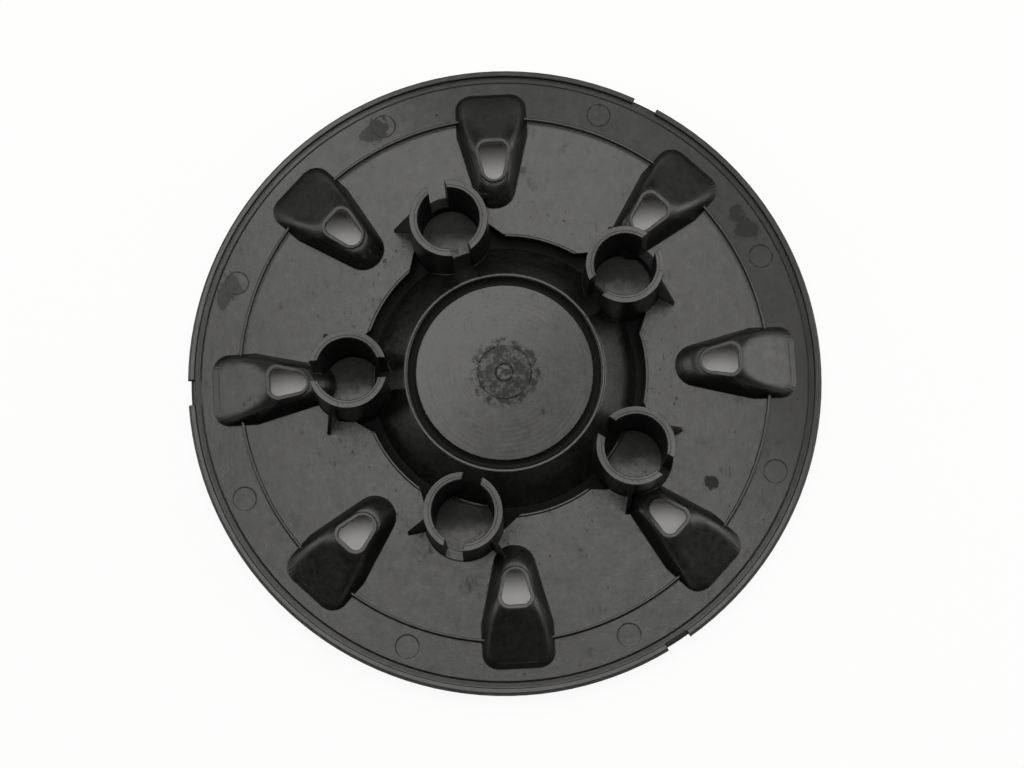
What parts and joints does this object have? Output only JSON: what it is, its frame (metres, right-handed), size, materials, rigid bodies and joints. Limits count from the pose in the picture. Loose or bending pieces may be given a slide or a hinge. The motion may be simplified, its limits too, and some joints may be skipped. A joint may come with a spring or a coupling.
{
  "type": "hubcap",
  "caption": "Round moulded plastic wheel cover with slotted sockets for the wheel bolts and raised vents round the centre.",
  "frame": {"origin": "centre of the rim, in the plane of the front edge that the cover rests on", "axes": "+Z from the front toward the wheel, out of the bolt sockets; -X through the vent, the bolt socket and the rim notch that stand in line"},
  "size_m": [0.2343, 0.2344, 0.0428],
  "materials": {
    "moulded_plastic": "satin"
  },
  "bodies": {
    "root": {"hubcap": "moulded_plastic"}
  },
  "joints": []
}
